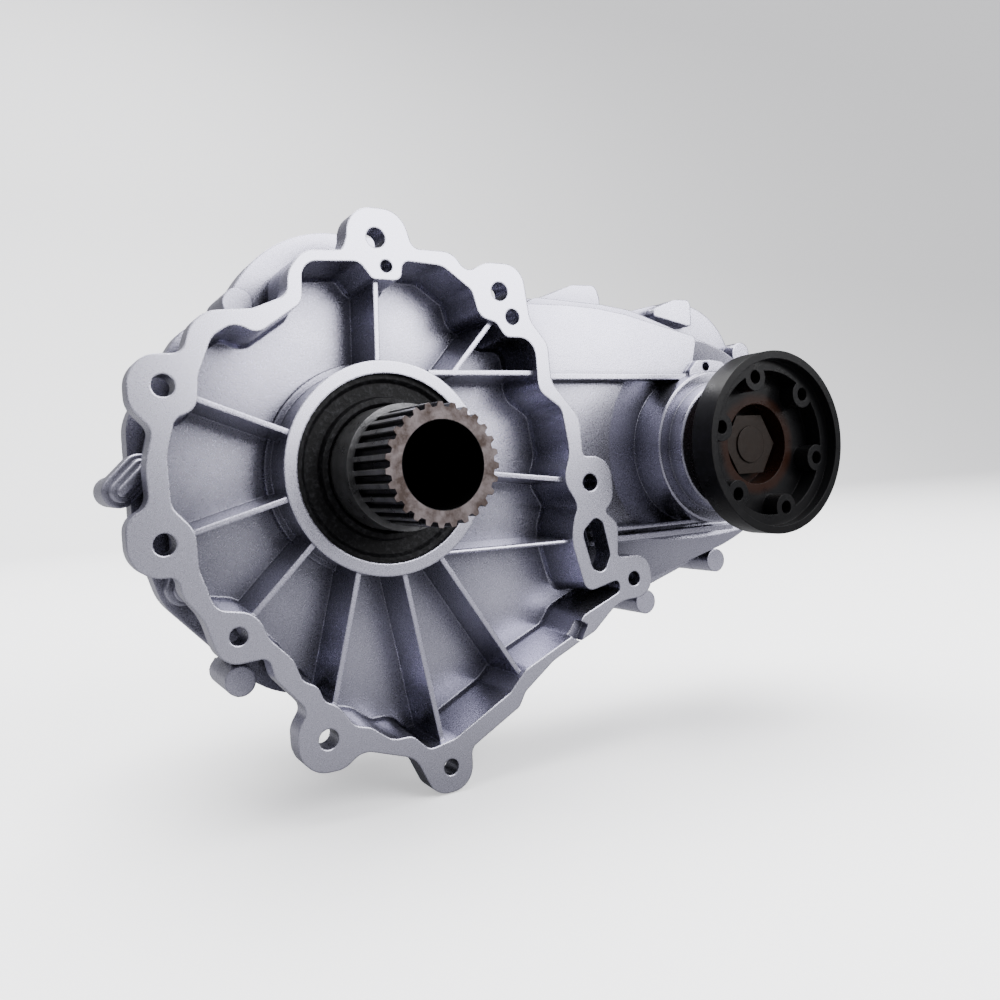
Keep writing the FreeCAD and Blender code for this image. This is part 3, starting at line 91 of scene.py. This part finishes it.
def stage_sheet(floor_z):
    """Section in Y and Z: a level run, a quarter circle of the bend radius, an upright run;
    swept along X between the two half widths."""
    bend = np.linspace(0, np.pi / 2, STAGE_BEND_STEPS)
    section_y = np.concatenate(([STAGE_FRONT], STAGE_BACK + STAGE_BEND_R * np.sin(bend),
                                [STAGE_BACK + STAGE_BEND_R]))
    section_z = np.concatenate(([0], STAGE_BEND_R * (1 - np.cos(bend)), [STAGE_HEIGHT]))
    count = len(section_y)
    left = np.stack([np.full(count, -STAGE_HALF_WIDTH), section_y, section_z + floor_z], axis=1)
    right_side = left * (-1, 1, 1)
    points = np.concatenate((left, right_side))
    i = np.arange(count - 1)
    faces = np.stack([i, i + count, i + count + 1, i + 1], axis=1)
    mesh = bpy.data.meshes.new("stage_sheet")
    mesh.from_pydata(points.tolist(), [], faces.tolist())
    mesh.shade_smooth()
    return mesh


def ramp(tree, factor, stops):
    """Colours or greys along a factor; stops are two pairs of position and colour."""
    node = tree.nodes.new("ShaderNodeValToRGB")
    for element, (position, colour) in zip(node.color_ramp.elements, stops):
        element.position = position
        element.color = colour
    tree.links.new(factor, node.inputs["Fac"])
    return node.outputs["Color"]


def seen_straight(tree):
    """1 where the camera sees the surface itself, 0 where its light reaches other surfaces."""
    return tree.nodes.new("ShaderNodeLightPath").outputs["Is Camera Ray"]


stage = bpy.data.objects.new("stage_sheet", stage_sheet(cad_box[0][2] - FLOOR_DROP))
bpy.context.collection.objects.link(stage)
stage_material = bpy.data.materials.new("pale_paper")
stage_material.use_nodes = True
stage_tree = stage_material.node_tree
stage_shader = stage_tree.nodes["Principled BSDF"]
paper = ramp(stage_tree, seen_straight(stage_tree), ((0.0, PAPER_THROWN), (1.0, PAPER_SEEN)))
stage_tree.links.new(paper, stage_shader.inputs["Base Color"])
stage_tree.links.new(paper, stage_shader.inputs["Emission Color"])
stage_shader.inputs["Emission Strength"].default_value = PAPER_GLOW
stage_shader.inputs["Roughness"].default_value = PAPER_ROUGHNESS
stage.data.materials.append(stage_material)

# Soft studio light: a room that is dark up to eye level and grows bright above it, a wide lamp
# over the part and a little behind it, and a key lamp high in front of it on the right. Where
# the floor ends, the room itself shows as pale as the paper.
ROOM_LIGHT = ((0.0, (0.10, 0.10, 0.115, 1)), (0.45, (0.96, 0.96, 1.0, 1)))
ROOM_SEEN = (1.6, 1.6, 1.62, 1)
ROOM_STRENGTH = 0.75


def axes(tree, socket):
    """X, Y and Z of a vector socket."""
    node = tree.nodes.new("ShaderNodeSeparateXYZ")
    tree.links.new(socket, node.inputs["Vector"])
    return node.outputs["X"], node.outputs["Y"], node.outputs["Z"]


def feed(tree, sockets, values):
    """Each socket gets its value: another node's socket by a link, a constant as it is."""
    for socket, value in zip(sockets, values):
        if isinstance(value, bpy.types.NodeSocket):
            tree.links.new(value, socket)
        else:
            socket.default_value = value


def mixed(tree, factor, first, second):
    """Two colours, sockets or constants, mixed by a factor."""
    node = tree.nodes.new("ShaderNodeMix")
    node.data_type = "RGBA"
    feed(tree, (node.inputs["Factor"], node.inputs["A"], node.inputs["B"]),
         (factor, first, second))
    return node.outputs["Result"]


def soft_lamp(name, place, target, width, watts, tint):
    """Square area lamp at a place, aimed at a target."""
    data = bpy.data.lights.new(name, "AREA")
    data.size = width
    data.energy = watts
    data.color = tint
    lamp = bpy.data.objects.new(name, data)
    lamp.location = place
    aim = Vector(target) - Vector(place)
    lamp.rotation_euler = aim.to_track_quat("-Z", "Y").to_euler()
    bpy.context.collection.objects.link(lamp)


world = bpy.data.worlds.new("studio_room")
world.use_nodes = True
room_tree = world.node_tree
room = room_tree.nodes["Background"]
direction = room_tree.nodes.new("ShaderNodeTexCoord").outputs["Generated"]
room_light = ramp(room_tree, axes(room_tree, direction)[2], ROOM_LIGHT)
room_tree.links.new(mixed(room_tree, seen_straight(room_tree), room_light, ROOM_SEEN),
                    room.inputs["Color"])
room.inputs["Strength"].default_value = ROOM_STRENGTH
bpy.context.scene.world = world

soft_lamp("top_lamp", place=(0.0, 0.9, 2.8), target=(0.1, 0.8, 0.0), width=3.2, watts=330,
          tint=(1.0, 1.0, 1.0))
soft_lamp("key_lamp", place=(1.0, -1.65, 0.98), target=(0.05, 0.0, 0.05), width=1.7, watts=78,
          tint=(0.985, 0.985, 1.0))

# The two case halves: sand-cast aluminium with a satin skin that is a little lavender, with
# painted shade that darkens it where other walls are near. They are bolted to each other, and
# machined flat on the face that meets the gearbox and on the front of the collar.
CAST_COLOUR = (0.435, 0.425, 0.525, 1)
CAST_PALE = (0.525, 0.515, 0.620, 1)
# The darkest grey below is painted shade, laid on the skin where other walls are near.
CAST_PAINTED_SHADE = (0.10, 0.10, 0.125, 1)
MACHINED_COLOUR = (0.485, 0.478, 0.565, 1)
BLACK = (0, 0, 0, 1)
WHITE = (1, 1, 1, 1)
MATING_FACE_Y = 0.0
COLLAR_FACE_Y = 0.003
FACE_SLACK = 0.0004
FACE_FLATNESS = 0.985
PATCHES_PER_M = 14.0
PATCHES_SHOW = ((0.35, BLACK), (0.7, WHITE))
GRAIN_PER_M = 900.0
# Reach, samples, ramp and share of that painted shade.
PAINTED_SHADE_REACH = 0.035
PAINTED_SHADE_SAMPLES = 8
PAINTED_SHADE_SHOWS = ((0.3, WHITE), (0.95, BLACK))
PAINTED_SHADE_SHARE = 0.85
CAST_ROUGHNESS = {"least": 0.21, "spread": 0.14}
CAST_METALLIC = 0.95
CAST_RELIEF = {"strength": 0.15, "depth": 0.0004, "edge_r": 0.0013}
EDGE_SAMPLES = 6


def new_material(name):
    """Material with its node tree, its main shader and the place of the surface."""
    material = bpy.data.materials.new(name)
    material.use_nodes = True
    tree = material.node_tree
    shader = tree.nodes["Principled BSDF"]
    place = tree.nodes.new("ShaderNodeTexCoord")
    return material, tree, shader, place


def noise(tree, place, scale, detail=4.0, roughness=0.55):
    """Cloudy pattern on object coordinates, from 0 to 1."""
    node = tree.nodes.new("ShaderNodeTexNoise")
    tree.links.new(place.outputs["Object"], node.inputs["Vector"])
    feed(tree, (node.inputs["Scale"], node.inputs["Detail"], node.inputs["Roughness"]),
         (scale, detail, roughness))
    return node.outputs["Fac"]


def sums(tree, operation, first, second=0.0, third=0.0, clamp=False):
    """Arithmetic on sockets or numbers."""
    node = tree.nodes.new("ShaderNodeMath")
    node.operation = operation
    node.use_clamp = clamp
    feed(tree, node.inputs, (first, second, third))
    return node.outputs["Value"]


def rougher(tree, pattern, least, spread):
    """Roughness: the least value and, where the pattern is 1, the spread on top of it."""
    return sums(tree, "MULTIPLY_ADD", pattern, spread, least)


def faces_at(tree, place, depth):
    """1 on flat faces across the shaft axis whose place along Y is depth, otherwise 0."""
    along = axes(tree, place.outputs["Object"])[1]
    facing = axes(tree, place.outputs["Normal"])[1]
    near = sums(tree, "COMPARE", along, depth, FACE_SLACK)
    flat = sums(tree, "GREATER_THAN", sums(tree, "ABSOLUTE", facing), FACE_FLATNESS)
    return sums(tree, "MULTIPLY", near, flat)


def finish(tree, shader, colour, roughness, metallic=0.0, specular=0.5):
    """A pattern of colour and one of roughness; metallic and specular are the same all over."""
    feed(tree, [shader.inputs[name] for name in
                ("Base Color", "Roughness", "Metallic", "Specular IOR Level")],
         (colour, roughness, metallic, specular))


def bump(tree, shader, height, strength, depth, edge_r=0.0):
    """Surface relief from a height pattern, depth in metres, on edges rounded by edge_r."""
    node = tree.nodes.new("ShaderNodeBump")
    if edge_r:
        edge = tree.nodes.new("ShaderNodeBevel")
        edge.samples = EDGE_SAMPLES
        edge.inputs["Radius"].default_value = edge_r
        tree.links.new(edge.outputs["Normal"], node.inputs["Normal"])
    feed(tree, (node.inputs["Strength"], node.inputs["Distance"], node.inputs["Height"]),
         (strength, depth, height))
    tree.links.new(node.outputs["Normal"], shader.inputs["Normal"])


def cast_aluminium():
    """Two greys in wide patches, painted shade where other walls are near, and one grey on the
    machined faces. A fine grain gives the roughness, and the relief off the machined faces."""
    material, tree, shader, place = new_material("cast_aluminium")
    patches = noise(tree, place, PATCHES_PER_M, detail=5.0)
    grain = noise(tree, place, GRAIN_PER_M, detail=3.0, roughness=0.7)
    skin = mixed(tree, ramp(tree, patches, PATCHES_SHOW), CAST_COLOUR, CAST_PALE)
    # Painted shade: ambient occlusion darkens the skin towards the dark grey where other walls
    # are near.
    painted_shade_ao = tree.nodes.new("ShaderNodeAmbientOcclusion")
    painted_shade_ao.inputs["Distance"].default_value = PAINTED_SHADE_REACH
    painted_shade_ao.samples = PAINTED_SHADE_SAMPLES
    depth = ramp(tree, painted_shade_ao.outputs["AO"], PAINTED_SHADE_SHOWS)
    skin = mixed(tree, sums(tree, "MULTIPLY", depth, PAINTED_SHADE_SHARE), skin, CAST_PAINTED_SHADE)
    machined = sums(tree, "MAXIMUM", faces_at(tree, place, MATING_FACE_Y),
                    faces_at(tree, place, COLLAR_FACE_Y))
    finish(tree, shader, mixed(tree, machined, skin, MACHINED_COLOUR),
           rougher(tree, grain, **CAST_ROUGHNESS), CAST_METALLIC)
    relief = sums(tree, "MULTIPLY", grain, sums(tree, "SUBTRACT", 1.0, machined))
    bump(tree, shader, relief, **CAST_RELIEF)
    return material


def dress(material, *names):
    """CAD nodes get the material in their material slots."""
    for name in names:
        mesh = nodes[name].data
        mesh.materials.clear()
        mesh.materials.append(material)


aluminium = cast_aluminium()
dress(aluminium, "front_case", "rear_case")

# The level rib low in the recess and the stepped fronts of the two bolt bosses on the left: all
# are of the same aluminium, cast in one with the front case half, and run into its walls.
LEVEL_RIB = ((0.0280, -0.0500), (0.1180, -0.0515))
RIB_FRONT_Y = 0.004
RIB_BACK_Y = 0.037
RIB_HALF = 0.0015
RIB_DRAFT = math.radians(2)
RIB_STEPS = 24
RIB_BEND_STEPS = 13
BOSSES = (
    ((-0.1344, -0.0040), math.radians(45), 0.0150),
    ((-0.1070, -0.0580), math.radians(72), 0.0050),
)
BOSS_STEPS = ((0.0086, 0.0605, 0.0400), (0.0056, 0.0400, 0.0310), (0.0027, 0.0310, 0.0240))
BOSS_AROUND = 96
HALF_TURN_SLACK = 1e-6
STEP_EDGE_R = 0.0013
STEP_EDGE_STEPS = 6
SMOOTH_BELOW = math.radians(35)


def skinned(name, rings):
    """Closed skin over rings of points that turn to the left round the way from the first to
    the last, with a fan over each end."""
    count, around = rings.shape[:2]
    ends = [rings[0].mean(axis=0), rings[-1].mean(axis=0)]
    points = np.concatenate((rings.reshape(-1, 3), ends))
    i = np.arange(around)
    j = (i + 1) % around
    first = np.arange(count - 1)[:, None] * around
    last = (count - 1) * around
    walls = np.stack([first + i, first + j, first + around + j, first + around + i], axis=2)
    near = np.stack([j, i, np.full(around, count * around)], axis=1)
    far = np.stack([last + i, last + j, np.full(around, count * around + 1)], axis=1)
    mesh = bpy.data.meshes.new(name)
    mesh.from_pydata(points.tolist(), [],
                     walls.reshape(-1, 4).tolist() + near.tolist() + far.tolist())
    mesh.shade_smooth()
    mesh.set_sharp_from_angle(angle=SMOOTH_BELOW)
    piece = bpy.data.objects.new(name, mesh)
    bpy.context.collection.objects.link(piece)
    piece.data.materials.append(aluminium)
    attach(piece, "case")


def drafted_rib(start, end):
    """Rings of a rib along the line from start to end, given as X and Z. Its section is half a
    circle of RIB_HALF in front, and widens by the draft down to the recess floor."""
    start = np.array((start[0], 0, start[1]))
    way = np.array((end[0], 0, end[1])) - start
    across = np.cross((0, 1, 0), way / np.linalg.norm(way))
    bend = np.linspace(np.pi, 2 * np.pi, RIB_BEND_STEPS)
    root = RIB_HALF + (RIB_BACK_Y - RIB_FRONT_Y - RIB_HALF) * math.tan(RIB_DRAFT)
    u = np.concatenate(([root, -root], RIB_HALF * np.cos(bend)))
    v = np.concatenate(([RIB_BACK_Y, RIB_BACK_Y], RIB_FRONT_Y + RIB_HALF * (1 + np.sin(bend))))
    section = u[:, None] * across + v[:, None] * np.array((0, 1, 0))
    share = np.linspace(0, 1, RIB_STEPS)[:, None, None]
    return start + share * way + section


def stepped_boss(centre, heading, reach):
    """Rings of a boss in steps, given as radius, back and front. Each ring is two half circles,
    about the centre and about a point at the reach along the heading, joined by straight
    sides, and each step's front edge is a quarter circle of STEP_EDGE_R."""
    turn = np.linspace(0, 2 * np.pi, BOSS_AROUND, endpoint=False) + heading + math.pi / 2
    far = np.where(np.cos(turn - heading) > HALF_TURN_SLACK, reach, 0.0)
    bend = np.linspace(0, np.pi / 2, STEP_EDGE_STEPS)
    radius, back_y, front_y = np.array(BOSS_STEPS).T[:, :, None]
    ring_r = np.hstack((radius, radius - STEP_EDGE_R * (1 - np.cos(bend)))).reshape(-1, 1)
    ring_y = np.hstack((back_y, front_y + STEP_EDGE_R * (1 - np.sin(bend)))).reshape(-1, 1)
    x = centre[0] + far * math.cos(heading) + ring_r * np.cos(turn)
    z = centre[1] + far * math.sin(heading) + ring_r * np.sin(turn)
    return np.stack([x, np.broadcast_to(ring_y, x.shape), z], axis=2)


skinned("level_rib", drafted_rib(*LEVEL_RIB))
for number, boss in enumerate(BOSSES):
    skinned(f"stepped_boss_{number + 1}", stepped_boss(*boss))

# Input shaft: forged steel with cut splines, that turns in its bearing and seal in the collar.
# Its barrel is black with oil, the tops of the teeth carry a painted grey highlight in blotches,
# and the end face is dull and brown.
OIL_COLOUR = (0.006, 0.006, 0.0065, 1)
# The grey of the tooth tops is a painted highlight.
TOOTH_TOP_HIGHLIGHT = (0.24, 0.24, 0.245, 1)
END_COLOUR = (0.150, 0.128, 0.128, 1)
END_RUST = (0.058, 0.043, 0.038, 1)
TOOTH_TOP_R = 0.0303
BORE_R = 0.0224
END_SLACK = 0.0006
SHAFT_BLOTCHES_PER_M = 110.0
END_RUST_SHOWS = ((0.40, BLACK), (0.62, WHITE))
SHAFT_ROUGHNESS = {"least": 0.18, "spread": 0.25}
END_ROUGHER = 0.3
SHAFT_METALLIC = 0.7
SHAFT_SPECULAR = 0.2
SHAFT_GRAIN_PER_M = 700.0
SHAFT_RELIEF = {"strength": 0.3, "depth": 0.0004, "edge_r": 0.0004}


def distance_from_axis(tree, place, centre_x=0.0, centre_z=0.0):
    """Distance of the surface from a shaft axis, in metres: the root of the sum of squares."""
    x, _, z = axes(tree, place.outputs["Object"])
    across = sums(tree, "SUBTRACT", x, centre_x)
    above = sums(tree, "SUBTRACT", z, centre_z)
    squares = sums(tree, "MULTIPLY_ADD", above, above, sums(tree, "MULTIPLY", across, across))
    return sums(tree, "SQRT", squares)


def worn_steel():
    """Oil black, and a painted grey highlight in blotches on the tops of the teeth. On the end
    face, outside the bore, a dull tone with blotches of rust, which is rougher."""
    material, tree, shader, place = new_material("worn_steel")
    blotches = noise(tree, place, SHAFT_BLOTCHES_PER_M, detail=6.0, roughness=0.65)
    radius = distance_from_axis(tree, place)
    along = axes(tree, place.outputs["Object"])[1]
    at_tip = sums(tree, "LESS_THAN", along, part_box("input_shaft")[0][1] + END_SLACK)
    at_tip = sums(tree, "MULTIPLY", at_tip, sums(tree, "GREATER_THAN", radius, BORE_R))
    # Painted highlight: grey in blotches on the tops of the teeth.
    on_top = sums(tree, "GREATER_THAN", radius, TOOTH_TOP_R)
    barrel = mixed(tree, sums(tree, "MULTIPLY", on_top, blotches), OIL_COLOUR, TOOTH_TOP_HIGHLIGHT)
    face = mixed(tree, ramp(tree, blotches, END_RUST_SHOWS), END_COLOUR, END_RUST)
    smooth = rougher(tree, blotches, **SHAFT_ROUGHNESS)
    finish(tree, shader, mixed(tree, at_tip, barrel, face),
           rougher(tree, at_tip, smooth, END_ROUGHER), SHAFT_METALLIC, SHAFT_SPECULAR)
    bump(tree, shader, noise(tree, place, SHAFT_GRAIN_PER_M), **SHAFT_RELIEF)
    return material


dress(worn_steel(), "input_shaft")

# Seals: nitrile rubber rings pressed into the pockets of the castings, whose lips run on the
# turning pieces. They are black, matte and faintly mottled.
RUBBER_COLOUR = (0.004, 0.004, 0.0045, 1)
SPECK_COLOUR = (0.03, 0.03, 0.033, 1)
MOTTLE_PER_M = 420.0
SPECKS_SHOW = ((0.5, BLACK), (0.72, WHITE))
RUBBER_ROUGHNESS = {"least": 0.35, "spread": 0.3}
RUBBER_SPECULAR = 0.14
RUBBER_RELIEF = {"strength": 0.6, "depth": 0.0009, "edge_r": 0.0008}


def black_rubber():
    """Black with paler specks where a fine mottle is high. The mottle gives the roughness and
    the relief too."""
    material, tree, shader, place = new_material("black_rubber")
    mottle = noise(tree, place, MOTTLE_PER_M, detail=6.0, roughness=0.7)
    specks = ramp(tree, mottle, SPECKS_SHOW)
    finish(tree, shader, mixed(tree, specks, RUBBER_COLOUR, SPECK_COLOUR),
           rougher(tree, mottle, **RUBBER_ROUGHNESS), specular=RUBBER_SPECULAR)
    bump(tree, shader, mottle, **RUBBER_RELIEF)
    return material


dress(black_rubber(), "input_seal", "front_output_seal", "rear_seal")

# Front output flange: a forged steel cup painted black, with a rust-brown ring inside where the
# joint sat; the rust is kept very dark, partly as painted shade inside the cup. It sits on the
# splines of the front output shaft, and its nut holds it.
PAINT_COLOUR = (0.005, 0.005, 0.0055, 1)
# The rust's dark brown is partly real rust and partly painted shade inside the cup.
RUST_AND_SHADE_COLOUR = (0.016, 0.006, 0.0035, 1)
OUTPUT_X = 0.2413
OUTPUT_Z = 0.0026
RUST_RING_R = 0.027
RUST_RING_HALF = 0.009
RUST_SPREADS = 0.35
RUST_SHOWS = ((0.2, BLACK), (0.6, WHITE))
PAINT_BLOTCHES_PER_M = 80.0
PAINT_ROUGHNESS = {"least": 0.16, "spread": 0.3}
PAINT_SPECULAR = 0.12
PAINT_GRAIN_PER_M = 500.0
PAINT_RELIEF = {"strength": 0.2, "depth": 0.0004, "edge_r": 0.0006}


def black_paint():
    """Black, with rust in a ring about the output axis, which fades to nothing at its half width
    and is broken up by blotches. The rust is kept very dark, partly as painted shade in the cup."""
    material, tree, shader, place = new_material("black_paint")
    blotches = noise(tree, place, PAINT_BLOTCHES_PER_M, detail=6.0)
    radius = distance_from_axis(tree, place, OUTPUT_X, OUTPUT_Z)
    from_ring = sums(tree, "ABSOLUTE", sums(tree, "SUBTRACT", radius, RUST_RING_R))
    faded = sums(tree, "DIVIDE", from_ring, RUST_RING_HALF)
    ring = sums(tree, "SUBTRACT", 1.0, faded, clamp=True)
    broken = sums(tree, "MULTIPLY", ring, sums(tree, "ADD", blotches, RUST_SPREADS))
    finish(tree, shader, mixed(tree, ramp(tree, broken, RUST_SHOWS), PAINT_COLOUR, RUST_AND_SHADE_COLOUR),
           rougher(tree, blotches, **PAINT_ROUGHNESS), specular=PAINT_SPECULAR)
    bump(tree, shader, noise(tree, place, PAINT_GRAIN_PER_M), **PAINT_RELIEF)
    return material


dress(black_paint(), "front_flange")


# Shafts, gears, bearing rings, sprockets, the chain and the dowels: hardened steel, turned or
# ground, bright and a little clouded. They are held in and on one another by splines, pins and
# press fits, and only those of the rear output show.
def clouded_metal(name, tones, clouds_per_m, roughness, metallic=1.0, specular=0.5, detail=4.0,
                  grain_per_m=0.0, relief=None):
    """Metal in two tones mixed along a cloudy pattern, which gives the roughness too. Its
    relief follows the clouds, or a finer grain where one is given."""
    material, tree, shader, place = new_material(name)
    cloud = noise(tree, place, clouds_per_m, detail)
    finish(tree, shader, mixed(tree, cloud, *tones), rougher(tree, cloud, **roughness), metallic,
           specular)
    if relief:
        height = noise(tree, place, grain_per_m) if grain_per_m else cloud
        bump(tree, shader, height, **relief)
    return material


steel = clouded_metal(
    "turned_steel", tones=((0.50, 0.50, 0.51, 1), (0.62, 0.62, 0.63, 1)), clouds_per_m=120.0,
    roughness={"least": 0.2, "spread": 0.2}, grain_per_m=900.0,
    relief={"strength": 0.12, "depth": 0.0003})
dress(steel, "input_circlip", "input_bearing_outer", "input_bearing_inner", "front_bearing_outer",
      "front_bearing_inner", "back_bearing_outer", "back_bearing_inner", "rear_bearing_outer",
      "rear_bearing_inner", "chain", "sun_gear", "needle_bearing", "drive_sprocket",
      "driven_sprocket", "planet_carrier", "planet_pins", "planet_gear_1", "planet_gear_2",
      "planet_gear_3", "ring_gear", "rear_output_shaft", "rear_flange", "case_dowels")

# Case bolts, plugs, vent and the nut of the rear flange: steel plated with zinc, pale and a
# little milky. The bolts, plugs and vent are screwed into the castings.
zinc = clouded_metal(
    "zinc_plate", tones=((0.62, 0.61, 0.58, 1), (0.52, 0.50, 0.46, 1)), clouds_per_m=180.0,
    roughness={"least": 0.28, "spread": 0.2}, metallic=0.95,
    relief={"strength": 0.15, "depth": 0.0003})
dress(zinc, "case_bolts", "drain_plug", "fill_plug", "vent", "rear_flange_nut")

# Front output shaft and the nut screwed on its end, which holds the flange: plain turned steel,
# nearly black, partly from brown oil and partly as painted shade at the bottom of the cup.
# The near-black tones are partly oil and partly painted shade of the deep cup.
oil_and_painted_shade_steel = clouded_metal(
    "oil_and_painted_shade_steel", tones=((0.018, 0.012, 0.009, 1), (0.009, 0.007, 0.006, 1)),
    clouds_per_m=160.0, detail=5.0, roughness={"least": 0.25, "spread": 0.3}, metallic=0.3,
    specular=0.15, relief={"strength": 0.3, "depth": 0.0005, "edge_r": 0.0006})
dress(oil_and_painted_shade_steel, "front_flange_nut", "front_output_shaft")

# Thrust washer of the sun gear, and the bush that the nose of the input shaft turns in: plain
# bronze, turned. The washer lies loose on the shaft and the bush is pressed into its bore.
bronze = clouded_metal(
    "bronze", tones=((0.55, 0.36, 0.16, 1), (0.42, 0.27, 0.12, 1)), clouds_per_m=150.0,
    roughness={"least": 0.25, "spread": 0.2})
dress(bronze, "sun_washer", "pilot_bush")
